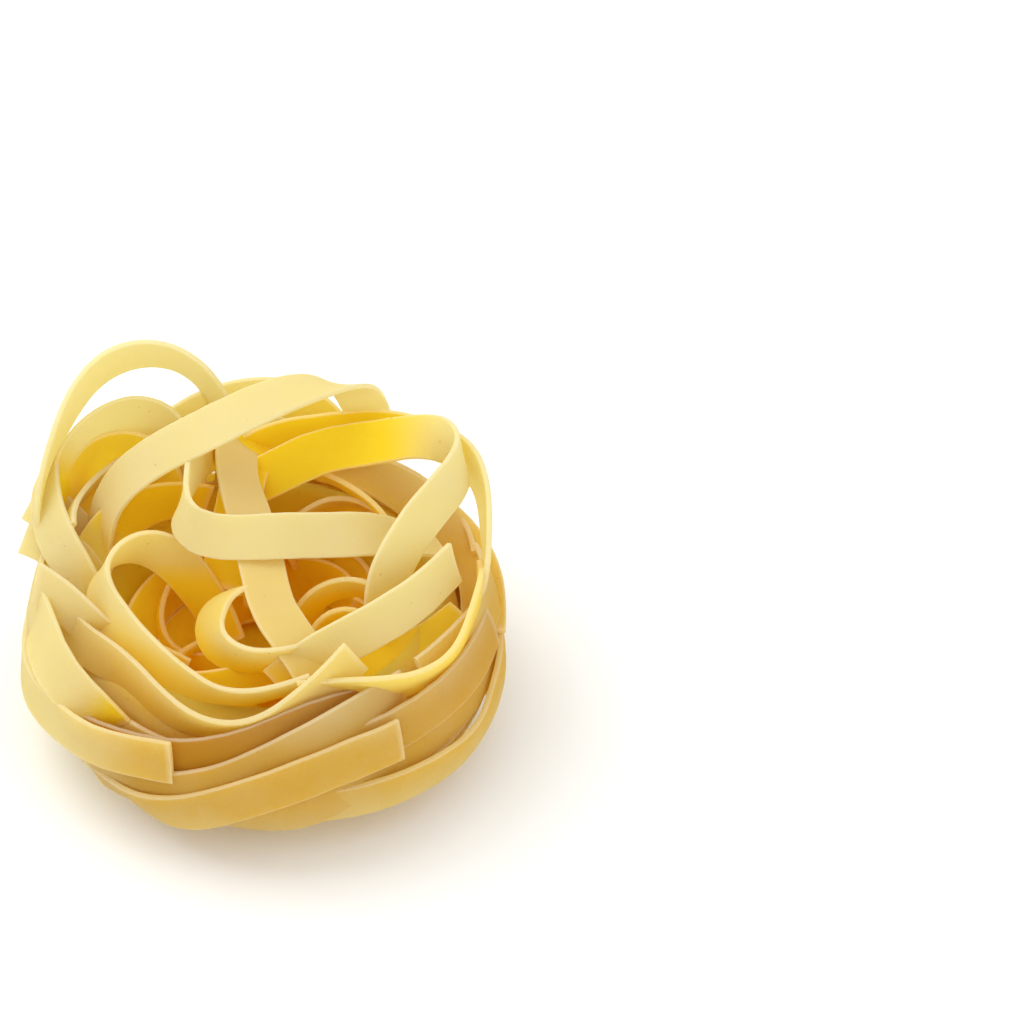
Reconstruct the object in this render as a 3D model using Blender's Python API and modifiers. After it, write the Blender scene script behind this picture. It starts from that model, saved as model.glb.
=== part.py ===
"""Dry pasta nest: flat egg noodles wound round a bowl of noodles, with loops standing up over it.

Metres, +Z up. The origin is the middle of the flat underside, and -Y is the front.
Sizes below are millimetres and degrees, and MM turns them into metres.
"""

import math

import bmesh
import bpy
import numpy as np

MM = 0.001

# The noodle: a flat ribbon. Here it is a little thicker than the real 0.8 mm, so that layers fuse.
NOODLE_WIDTH = 6.5
NOODLE_THICKNESS = 1.15
STEP = 6.0
TURN_STEP = 8.4
HOOP_STEP = 4.8

# The outer wall of the wound body: widest at BELLY_HEIGHT, drawn in below and above it.
BELLY_HEIGHT = 11.0
BELLY_RADIUS = 34.6
FOOT_DRAW = 10.0
FOOT_POWER = 2.3
TOP_HEIGHT = 33.0
TOP_DRAW = 7.6

# The hollow in the middle: half an ellipsoid, open at RIM_HEIGHT.
RIM_HEIGHT = 27.0
HOLLOW_RADIUS = 22.0
HOLLOW_DEPTH = 21.0

# The wad under the noodles that show.
CORE_DEPTH = 0.25
CORE_HEIGHTS = (19.0, 16.0, 11.0, 7.0, 4.0, 1.5, 0.0)
CORE_TURN_STEPS = 28
BOWL_ANGLES = (15.0, 24.0, 33.0, 42.0, 51.0, 60.0, 69.0, 78.0)
BOWL_PLAY = 0.3
MERGE = 0.05

# Noodles that lie free, each a short list of (x, y, z, lean) chosen by eye. A noodle's face looks away
# from the upright axis of its own loop, and lean turns it up.
LOOPS = {
    "back_arch": ((-17, 12), [
        (-32.6, 11, 20, 5), (-32.6, 13, 27, 5), (-31, 16, 33.3, 10), (-26.5, 21, 40.5, 13),
        (-22, 24.5, 43.5, 15), (-16, 26, 44.3, 17), (-11.3, 26, 42.4, 18), (-8, 25.3, 38.2, 25),
        (-5.8, 24.6, 31, 30), (-4.6, 23.6, 23, 25)]),
    "long_bow": ((12, 32), [
        (-24, 9, 17, 10), (-24, 10, 23, 18), (-22, 12, 29, 28), (-16, 12, 36, 36), (-8, 12.5, 41, 42),
        (0, 16, 43, 50), (4, 18, 43.5, 80), (8, 20, 43.2, 105), (11.5, 22, 41.5, 130),
        (13.5, 24, 37.5, 155), (14.8, 25.5, 33, 170), (15.5, 27, 25, 175)]),
    "right_hoop": ((8, 8), [
        (-4, 14, 28, -48), (2, 15, 31, -48), (8, 17, 33, -46), (16, 16, 35.5, -44), (23, 16, 37, -35),
        (28, 14, 37.2, -5), (29, 10, 37, 20), (26.4, 5, 36.2, 32), (22.6, 0.2, 34.6, 36),
        (19.6, -3.8, 31.6, 38), (17.8, -5.8, 27.8, 36), (17.6, -6.2, 22, 20)]),
    "outer_hoop": ((0, 0), [
        (-4, 21, 28, -8), (2, 22, 31, -8), (8, 22, 32, -8), (16, 22, 33, -8), (25, 18, 34, -6),
        (30, 14, 34, -6), (32, 8, 32.5, -6), (32, 4, 30, -6), (32, -1, 25, -4), (30, -6, 20, 0)]),
    "cross_band": ((2, 16), [
        (-8, 18, 32, -8), (-10, 13, 35, -8), (-10, 9, 34.5, -5), (-12, 4, 34, 5), (-11, 1, 33, 25),
        (-8, 0, 32, 38), (-3, -1, 32.5, 40), (4, -1, 33, 42), (10, -0.5, 32.5, 46), (15, 1, 31.5, 55),
        (20, 3, 29, 75), (25, 6, 25, 85)]),
    "down_band": ((0, 20), [
        (-4, 23, 28, 128), (-4, 18, 34, 128), (-4, 12, 32.5, 125), (-2, 6, 31, 105), (0, -2, 29.5, 95),
        (2, -11, 28, 88), (5, -16, 27, 84), (8, -20, 24.5, 80), (11, -24, 20, 75)]),
    "left_eye": ((-10, -10), [
        (-5, -3, 14, -5), (-8, 0, 19, -5), (-12, 2, 25, -5), (-16, 2.5, 28, 3), (-20.5, 0.7, 28, 22),
        (-23.2, -3, 27, 34), (-22.8, -6.8, 25.8, 36), (-19.6, -11.4, 24.5, 30), (-16.2, -15, 23.7, 22),
        (-12, -19.3, 22.8, 10), (-7.5, -22.5, 22.4, 0), (-2, -24, 23, -22), (4, -23.4, 24.3, -24),
        (7.5, -22.2, 25, -20)]),
    "small_eye": ((0, -9), [
        (2, -4, 25, 40), (-2, -5, 27, 40), (-5, -6, 27, 45), (-7, -9, 26, 48), (-7, -13, 25, 30),
        (-5, -16, 24.5, 0), (-1, -18, 24.5, -20), (4, -18, 25, -20), (9, -15, 23, -15)]),
    "right_band": ((4, 4), [
        (27.5, -2.8, 29.4, 18), (25.8, -5.9, 29.8, 21), (23.6, -9.3, 30, 24), (19.3, -13.4, 29.6, 28),
        (13.6, -17, 28.4, 30), (8.5, -18.3, 26, 30), (3, -20, 21.5, 30)]),
    "front_tail": ((0, 0), [
        (14, -22, 29.5, 8), (11.2, -24.5, 27.6, 2), (7, -26.8, 25.2, -12), (2.5, -28.3, 23.2, -28),
        (-2.5, -29, 22.1, -34), (-7.6, -27.9, 21.7, -20), (-13.2, -23.6, 21.6, 0),
        (-19, -16.6, 21.6, 10), (-24.8, -11.4, 21.4, 20), (-29.2, -6, 21.2, 24)]),
    "left_lap": ((10, 40), [
        (-31.8, -3.8, 26.4, 18), (-28.6, -6.8, 26.4, 22), (-26, -8.4, 25.2, 24), (-22.8, -9.8, 21.8, 24),
        (-17.6, -11, 19, 22), (-11, -13, 16.6, 20)]),
    "left_drop": ((8, 30), [
        (-31.6, -2, 22, 5), (-31.6, -6.4, 23, 18), (-30.4, -12.4, 22.6, 42), (-27.4, -18.4, 21.2, 46),
        (-23.4, -22, 19.2, 32), (-20, -22.6, 16, 5)]),
    "right_lip": ((0, 0), [
        (6.5, -24, 24.6, -20), (12, -24.2, 25.6, -22), (17, -24, 25, -22), (21, -22, 24, -24),
        (25, -19, 23.5, -20), (28, -16, 24, -15), (30, -11, 26, -8), (31, -6, 26, 0), (31, 0, 23, 5)]),
    "shoulder": ((-20, 8), [
        (-29, 13, 19.5, 5), (-29, 15, 24.8, 5), (-29, 18, 29, 0), (-26, 21, 32.2, -3),
        (-22, 23, 34.2, -5), (-18, 24, 34.7, -5), (-15, 23.5, 34, -5), (-13, 22, 31, 0),
        (-11, 19, 25, 0)]),
    "shoulder_fold": ((-20, 6), [
        (-27.5, 13, 18, 0), (-28, 16, 23.5, 0), (-26.5, 20, 27.5, 0), (-23, 21.5, 29.5, -5),
        (-19, 21, 30, -5), (-16, 20, 28, 0), (-14, 18, 24, 0)]),
    "back_bow": ((2, 0), [
        (-20, 24.6, 25, -5), (-15, 26, 29, -5), (-10, 27.2, 32, -5), (-4, 28, 33.8, -5), (1.5, 28.4, 34, -5),
        (6, 28, 32, -5), (9.5, 27.4, 28, 0), (12.5, 26.5, 22, 0)]),
    "under_band": ((0, 20), [
        (-1, 22, 30, 115), (-2, 18, 32, 112), (-3, 14, 30.5, 108), (-4, 9, 28, 100), (-5, 4, 25, 92),
        (-6, 1, 21, 85)]),
    "left_wide": ((-5, 10), [
        (-30.6, 22, 29, 20), (-31.8, 16.4, 28.4, 36), (-31.4, 10.4, 27.2, 44), (-29.4, 5.4, 25.4, 46),
        (-26.4, 1.8, 22.8, 40), (-23.6, -1.4, 19.4, 30)]),
    "left_slant": ((-28, 60), [
        (-34.6, 10.2, 23.4, 36), (-31, 9, 22.6, 40), (-27.6, 7, 20.8, 40), (-24.8, 4, 18, 36)]),
    "left_end": ((-28, 60), [
        (-34, 15.8, 24.8, 38), (-31, 14.4, 24, 40), (-28, 12.4, 22, 40), (-25.4, 9.6, 19, 36)]),
    "inner_bow": ((8, 0), [
        (-6, 18, 22, 25), (-2, 20, 26, 30), (4, 20, 27, 33), (9, 18, 27.5, 33), (14, 14, 27, 30),
        (18, 9, 25, 15), (20, 3, 21, 0)]),
    "inner_coil": ((8, -6), [
        (2, 11, 18, 20), (5, 14, 22, 30), (9, 16, 24, 33), (14, 15, 24.5, 33), (18, 11, 23, 20),
        (20, 5, 19, 5)]),
    "left_inner": ((-16, 40), [
        (-25.4, 6, 20, 10), (-23, 10, 23.5, 10), (-18.5, 13, 25.4, 8), (-13.5, 14.6, 26.2, 5),
        (-8.5, 15.2, 24.6, 0)]),
    "lip_fold": ((4, 4), [
        (9, -14.6, 16.6, 70), (12.4, -13.8, 18, 70), (18.4, -12, 19.2, 72), (24.6, -9.4, 20.2, 72),
        (29, -4.6, 20.2, 66)]),
    "right_rim": ((0, 0), [
        (8, 26.5, 21, 70), (14, 24.7, 22, 95), (19, 21.5, 22, 108), (25, 16, 21, 112), (29.2, 10.6, 20, 112),
        (31.4, 4, 19, 105), (31.6, -3.5, 17, 80)]),
    "eye_outer": ((11, -10), [
        (4.8, -5.8, 16.5, 10), (5.6, -4.2, 20, 15), (7.2, -3, 22.6, 22), (9.8, -2.6, 24.2, 28),
        (13.6, -2.6, 25, 28), (17, -3.4, 24, 20), (19.4, -5.6, 20, 5)]),
    "eye_inner": ((12, -12), [
        (7, -9.5, 17, 20), (7.6, -7.4, 20, 25), (10.4, -6.2, 22, 30), (14, -6.4, 22.4, 25),
        (17, -8.6, 20, 10)]),
}

# Noodles that lie on the wall, each a short list of (angle, height, depth under the wall).
WALL_BANDS = {
    "front_low": [(-54, 18.8, -0.8), (-65.5, 18.8, -0.9), (-75, 17.9, -0.9), (-84.5, 16.2, -0.9),
                  (-94, 13.9, -0.8), (-104, 10.9, -0.6), (-114, 8.6, 0), (-125, 7, 0.8), (-137, 6, 1.7)],
    "left_low": [(-110, 18.3, 0), (-116, 17.9, -0.1), (-123, 17.1, -0.4), (-133, 16.2, -0.8),
                 (-143, 15.7, -0.9), (-153, 14.9, -1), (-168, 14.2, -0.6), (-184, 14, 0.9),
                 (-200, 14, 2.2)],
    "right_foot": [(-112, 8.4, 2.4), (-96, 9.4, 1.9), (-80, 10.2, 1.4), (-70, 9.9, 0.8), (-58, 9.9, 0.2),
                   (-48, 9.7, -0.3), (-37, 9.3, -0.6), (-27, 9.3, -0.6), (-20, 10.4, -0.5),
                   (-6, 12.5, 0.2), (12, 13, 1.3)],
    "front_foot": [(-114, 6.4, 1.6), (-99, 7.2, 1.2), (-86, 8.4, 0.9), (-74, 11.2, 0.8), (-62, 13.6, 0.9),
                   (-47, 15.4, 1.5)],
    "front_cross": [(-135, 8.5, 1.2), (-120, 11, 0.8), (-106, 14, 0.3), (-96, 16.4, 0.2), (-86, 19.3, 0.2),
                    (-77, 21.6, 0.2), (-67, 23.2, 0.5), (-57, 23.6, 1.6), (-46, 22.8, 3.2)],
    "front_under": [(-140, 14.5, 1.4), (-121, 16.8, 1.4), (-108, 18.2, 1.4), (-98, 20, 1.4),
                    (-88, 22, 1.4), (-79, 23.6, 1.8), (-68, 24, 3), (-57, 22.8, 4.4)],
    "right_mid": [(-10, 20, 0), (-24, 20.2, 0), (-38, 20, 0), (-52, 19.5, 0.6), (-68, 19, 1.6)],
    "right_under": [(-4, 15.5, 1.1), (-20, 15.8, 1.1), (-38, 15.4, 1.0), (-52, 15, 1.2),
                    (-70, 14, 2.0)],
    "back_cross": [(30, 7, 1.6), (48, 9, -0.4), (66, 12.5, -0.9), (86, 16.5, -0.9), (104, 20.5, -0.7),
                   (122, 23.5, 0.6), (136, 24.5, 2)],
    "back_rise": [(178, 16.5, 1.6), (160, 14, -0.5), (142, 10, -0.9), (124, 7.5, -0.5), (108, 6, 1.6)],
    "right_high": [(-40, 23.5, 2.2), (-26, 23.5, 1.2), (-12, 22.6, 0.2), (0, 21.5, 0), (14, 20.5, 0.8)],
}

# Turns right or part of the way round the wall: first and last angle, first and last height,
# sway up and down, its phase, depth under the wall.
WALL_TURNS = [
    (-12, 206, 4.6, 5.2, 0.6, 0, 0.1),
    (8, 196, 11.6, 12.3, 1.0, 40, 0),
    (16, 204, 18, 19.5, 0.8, 20, 0.1),
    (66, 166, 26, 26.4, 0.6, 0, 0.2),
]

# Hoops that fill the hollow: centre (x, y, z), radius, tilt, heading of the tilt, start, sweep, lean.
HOOPS = [
    (-6, 5, 14, 10, 22, 60, 30, 250, 20),
    (7, 6, 16, 9, 18, 200, -40, 240, 15),
    (-4, -8, 15, 9.5, 25, 300, 120, 250, 25),
    (9, -6, 14, 8, 20, 140, 200, 230, -10),
    (1, 1, 11, 11, 12, 20, 260, 240, -20),
]

# How far the two ends of a turn dip under their neighbours, and how far a hoop is from round.
END_DIP = 1.6
HOOP_SWELL = 0.12

COLOURS = {"noodle": (0.78, 0.58, 0.22, 1.0)}
ROUGHNESS = 0.55


def wall_radius(height):
    """Radius of the outer wall: it draws in by a power of the distance from the belly."""
    below = np.clip((BELLY_HEIGHT - height) / BELLY_HEIGHT, 0, 1)
    above = np.clip((height - BELLY_HEIGHT) / (TOP_HEIGHT - BELLY_HEIGHT), 0, 1)
    return BELLY_RADIUS - FOOT_DRAW * below**FOOT_POWER - TOP_DRAW * above**2


def curve_through(stations, step):
    """Points about every step along a centripetal Catmull-Rom curve through rows that start x, y, z."""
    rows = np.array(stations, float)
    rows = np.vstack([2 * rows[0] - rows[1], rows, 2 * rows[-1] - rows[-2]])
    pieces = []
    for first, start, end, last in zip(rows, rows[1:], rows[2:], rows[3:]):
        reach = np.linalg.norm((end - start)[:3])
        knots = np.cumsum([0] + [
            math.sqrt(np.linalg.norm((b - a)[:3])) for a, b in ((first, start), (start, end), (end, last))
        ])
        count = max(1, round(reach / step))
        t = np.linspace(knots[1], knots[2], count, endpoint=False)[:, None]

        def between(low, high, at_low, at_high):
            return ((high - t) * at_low + (t - low) * at_high) / (high - low)

        early = between(knots[0], knots[1], first, start)
        middle = between(knots[1], knots[2], start, end)
        late = between(knots[2], knots[3], end, last)
        rising = between(knots[0], knots[2], early, middle)
        falling = between(knots[1], knots[3], middle, late)
        pieces.append(between(knots[1], knots[2], rising, falling))
    return np.vstack(pieces + [rows[-2][None]])


def lean_frame(path, lean, axis):
    """Unit vectors across the noodle, from its path, the lean of its face and its loop's upright axis."""
    along = np.gradient(path, axis=0)
    along /= np.linalg.norm(along, axis=1)[:, None]
    outward = np.column_stack([path[:, :2] - np.array(axis, float), np.zeros(len(path))])
    outward /= np.linalg.norm(outward, axis=1)[:, None]
    tilt = np.radians(lean)[:, None]
    face = np.cos(tilt) * outward + np.sin(tilt) * np.array([0, 0, 1.0])
    face -= (face * along).sum(1)[:, None] * along
    face /= np.linalg.norm(face, axis=1)[:, None]
    return np.cross(along, face)


def on_wall(angle, height, depth):
    """Path and lean of a noodle at this angle, height and depth under the wall, flat on it."""
    rise = 0.5
    slope = (wall_radius(height + rise) - wall_radius(height - rise)) / (2 * rise)
    length = np.sqrt(1 + slope**2)
    radius = wall_radius(height) - depth / length
    turn = np.radians(angle)
    path = np.column_stack([radius * np.cos(turn), radius * np.sin(turn), height + depth * slope / length])
    return path, np.degrees(np.arctan2(-slope, 1))


def material(name):
    found = bpy.data.materials.new(name)
    found.use_nodes = True
    shader = found.node_tree.nodes["Principled BSDF"]
    shader.inputs["Base Color"].default_value = COLOURS[name]
    shader.inputs["Roughness"].default_value = ROUGHNESS
    found.diffuse_color = COLOURS[name]
    return found


def noodle(name, path, across, collection, look):
    """A flat noodle: a grid one cell wide laid along the path, given its thickness by Solidify."""
    cells = len(path) - 1
    bpy.ops.mesh.primitive_grid_add(x_subdivisions=cells, y_subdivisions=1, size=2)
    made = bpy.context.object
    made.name = name
    for owner in list(made.users_collection):
        owner.objects.unlink(made)
    collection.objects.link(made)
    for vertex in made.data.vertices:
        place = round((vertex.co.x + 1) / 2 * cells)
        side = round(vertex.co.y)
        vertex.co = MM * (path[place] + side * NOODLE_WIDTH / 2 * across[place])
    thicken = made.modifiers.new("thickness", "SOLIDIFY")
    thicken.thickness = MM * NOODLE_THICKNESS
    thicken.offset = 0
    made.data.materials.append(look)
    return made


def free_loops(collection, look):
    for name, (axis, stations) in LOOPS.items():
        rows = curve_through(stations, STEP)
        across = lean_frame(rows[:, :3], rows[:, 3], axis)
        noodle(name, rows[:, :3], across, collection, look)


def wall_bands(collection, look):
    for name, stations in WALL_BANDS.items():
        rows = np.array(stations, float)
        rows[:, 0] = np.radians(rows[:, 0]) * BELLY_RADIUS
        rows = curve_through(rows[:, [0, 1, 2]], STEP)
        path, lean = on_wall(np.degrees(rows[:, 0] / BELLY_RADIUS), rows[:, 1], rows[:, 2])
        noodle(name, path, lean_frame(path, lean, (0, 0)), collection, look)


def wall_turns(collection, look):
    """Noodles round the back and sides, whose ends dip under their neighbours."""
    for number, (first, last, low, high, sway, phase, depth) in enumerate(WALL_TURNS):
        count = round(math.radians(last - first) * BELLY_RADIUS / TURN_STEP)
        t = np.linspace(0, 1, count)
        angle = first + (last - first) * t
        height = low + (high - low) * t + sway * np.sin(np.radians(2 * angle + phase))
        deep = depth + END_DIP * (2 * t - 1) ** 8
        path, lean = on_wall(angle, height, deep)
        noodle(f"wall_turn_{number}", path, lean_frame(path, lean, (0, 0)), collection, look)


def hoops(collection, look):
    for number, (x, y, z, radius, tilt, heading, start, sweep, lean) in enumerate(HOOPS):
        count = round(math.radians(sweep) * radius / HOOP_STEP)
        turn = np.radians(np.linspace(start, start + sweep, count))
        out = radius * (1 + HOOP_SWELL * np.sin(2 * turn))
        rise = math.tan(math.radians(tilt)) * out * np.cos(turn - math.radians(heading))
        path = np.column_stack([x + out * np.cos(turn), y + out * np.sin(turn), z + rise])
        noodle(f"hoop_{number}", path, lean_frame(path, np.full(count, lean), (x, y)), collection, look)


def wad(collection, look):
    """The turned core: down the bowl of the hollow, out over the rim, and in again under the wall."""
    bowl = [
        (HOLLOW_RADIUS * math.sin(a) + BOWL_PLAY, RIM_HEIGHT - HOLLOW_DEPTH * math.cos(a) - BOWL_PLAY)
        for a in np.radians(BOWL_ANGLES)
    ]
    side = [(float(wall_radius(h)) - CORE_DEPTH, h) for h in CORE_HEIGHTS]
    floor = RIM_HEIGHT - HOLLOW_DEPTH
    profile = [(0, floor)] + bowl + side + [(0, 0)]
    mesh = bpy.data.meshes.new("nest")
    points = [(MM * r, 0, MM * h) for r, h in profile]
    edges = [(i, i + 1) for i in range(len(points) - 1)]
    mesh.from_pydata(points, edges, [])
    core = bpy.data.objects.new("nest", mesh)
    collection.objects.link(core)
    turn = core.modifiers.new("turn", "SCREW")
    turn.steps = CORE_TURN_STEPS
    turn.render_steps = CORE_TURN_STEPS
    turn.use_merge_vertices = True
    turn.merge_threshold = MM * MERGE
    turn.use_normal_calculate = True
    mesh.materials.append(look)
    return core


def freeze(piece):
    """The object's modifiers made part of its mesh."""
    bpy.context.view_layer.update()
    graph = bpy.context.evaluated_depsgraph_get()
    solid = bpy.data.meshes.new_from_object(piece.evaluated_get(graph))
    piece.modifiers.clear()
    piece.data = solid


def keep_largest_body(piece):
    """Drops loose scraps and fills hollows sealed by the join: only the largest closed skin stays.

    Skins that touch along an edge count as two, so the walk goes only over edges between two faces."""
    shape = bmesh.new()
    shape.from_mesh(piece.data)
    unseen = set(shape.faces)
    skins = []
    while unseen:
        front = [unseen.pop()]
        skin = list(front)
        while front:
            face = front.pop()
            for edge in face.edges:
                if len(edge.link_faces) != 2:
                    continue
                for near in edge.link_faces:
                    if near in unseen:
                        unseen.remove(near)
                        front.append(near)
                        skin.append(near)
        skins.append(skin)
    skins.sort(key=len)
    for skin in skins[:-1]:
        bmesh.ops.delete(shape, geom=skin, context="FACES")
    shape.to_mesh(piece.data)
    shape.free()


def main():
    for old in list(bpy.data.objects):
        bpy.data.objects.remove(old, do_unlink=True)
    parts = bpy.data.collections.new("dry_pasta_nest")
    strands = bpy.data.collections.new("noodles")
    for collection in (parts, strands):
        bpy.context.scene.collection.children.link(collection)
    look = material("noodle")
    core = wad(parts, look)
    for lay in (free_loops, wall_bands, wall_turns, hoops):
        lay(strands, look)
    join = core.modifiers.new("join", "BOOLEAN")
    join.operation = "UNION"
    join.operand_type = "COLLECTION"
    join.collection = strands
    join.solver = "MANIFOLD"
    freeze(core)
    for piece in list(strands.objects):
        bpy.data.objects.remove(piece, do_unlink=True)
    bpy.data.collections.remove(strands)
    keep_largest_body(core)


main()
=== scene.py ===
"""Looks of a dry pasta nest: flat egg noodles wound into a low bowl, with loops standing up over it."""

import math

import bpy
import numpy as np
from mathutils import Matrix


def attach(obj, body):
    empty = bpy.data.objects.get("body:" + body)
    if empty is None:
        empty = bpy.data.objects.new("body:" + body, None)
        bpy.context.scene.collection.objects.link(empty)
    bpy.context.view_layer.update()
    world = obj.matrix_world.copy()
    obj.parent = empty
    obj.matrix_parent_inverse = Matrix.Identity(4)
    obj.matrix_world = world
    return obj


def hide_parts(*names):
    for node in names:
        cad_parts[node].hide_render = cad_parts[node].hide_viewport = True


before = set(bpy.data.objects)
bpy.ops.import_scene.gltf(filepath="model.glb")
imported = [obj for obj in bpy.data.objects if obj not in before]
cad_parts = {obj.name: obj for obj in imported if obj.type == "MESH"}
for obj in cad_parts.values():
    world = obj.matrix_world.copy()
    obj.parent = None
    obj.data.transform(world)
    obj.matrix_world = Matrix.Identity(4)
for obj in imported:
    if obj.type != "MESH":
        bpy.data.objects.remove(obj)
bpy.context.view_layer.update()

bl_info = {
    "name": "Dry pasta nest",
    "version": (1, 0, 0),
    "blender": (4, 5, 0),
    "location": "3D View > Sidebar > Pasta",
    "description": "Makes a dry pasta nest noodle by noodle, with its floor, light and camera",
    "category": "Object",
}

# Sizes in the tables and functions are millimetres and degrees, and MM turns them into metres.
MM = 0.001
NODE = "nest"
BODY = "root"
SEED = 7

# The outer wall of the wound body: widest at BELLY_HEIGHT, drawn in below and above it.
BELLY_HEIGHT = 11.0
BELLY_RADIUS = 34.6
FOOT_DRAW = 10.0
FOOT_POWER = 2.3
TOP_HEIGHT = 33.0
TOP_DRAW = 7.6

# The hollow in the middle: half an ellipsoid, open at RIM_HEIGHT.
RIM_HEIGHT = 27.0
HOLLOW_RADIUS = 22.0
HOLLOW_DEPTH = 21.0

# The wad inside the wall, out of sight under two layers of noodles. Its side goes from CORE_TOP down to
# CORE_BELLY, and its bowl lies this far out from and below the hollow.
CORE_DEPTH = 6.2
CORE_TOP = 18.0
CORE_BELLY = 4.0
CORE_FOOT = 2.2
CORE_FOOT_RADIUS = 20.0
CORE_SIDE_RINGS = 10
CORE_BOWL_ANGLES = range(15, 80, 5)
CORE_BOWL_OUT = 2.6
CORE_BOWL_DOWN = 1.6
CORE_CORNERS = 64

# The underside: noodles side by side, that rise at their ends. They lie flat, and their upright axis is
# far off, so that each one is straight from end to end.
BASE_RADIUS = 24.0
BASE_PITCH = 6.9
BASE_HEIGHT = 0.55
BASE_RISE = 0.9
BASE_AXIS = -100.0
HALF_NOODLE = 3.25

# How noodles are laid: the length that a table's curve is eased over, how far the ends of a turn dip
# under their neighbours, how sharply ends dip or rise, how far a hoop is from round, and the hollow's
# mean radius as a share of its widest.
EASE = 2.5
END_DIP = 1.6
END_POWER = 8
HOOP_SWELL = 0.12
HOLLOW_MEAN = 0.8

# How a noodle strays from its curve: how far, number of sines, shortest and longest wave in mesh cells.
# The path and the curl stray by shares of their settings, the width and the thickness by shares of
# themselves, and the edge by millimetres.
STRAY = {
    "path": (1.0, 3, 14, 34),
    "width": (0.012, 2, 9, 30),
    "curl": (0.8, 2, 20, 50),
    "edge": (0.05, 4, 3, 9),
    "thickness": (0.05, 2, 8, 25),
}

# The edge is rough past this share of the half width, and corners past this angle are sharp.
EDGE_FROM = 0.8
SHARP_ANGLE = 50

# How far apart two noodles lie in the UV map, in metres.
UV_GAP = 0.37

# The photograph's view: the nest's axis, AIM_HEIGHT up, lies at this pixel of its 1024.
PICTURE_SIDE = 1024
AIM_PIXEL = (265, 633)
AIM_HEIGHT = 13.0
PIXELS_PER_MM = 6.92
VIEW_DISTANCE = 700.0
VIEW_ELEVATION = 42.0

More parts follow.
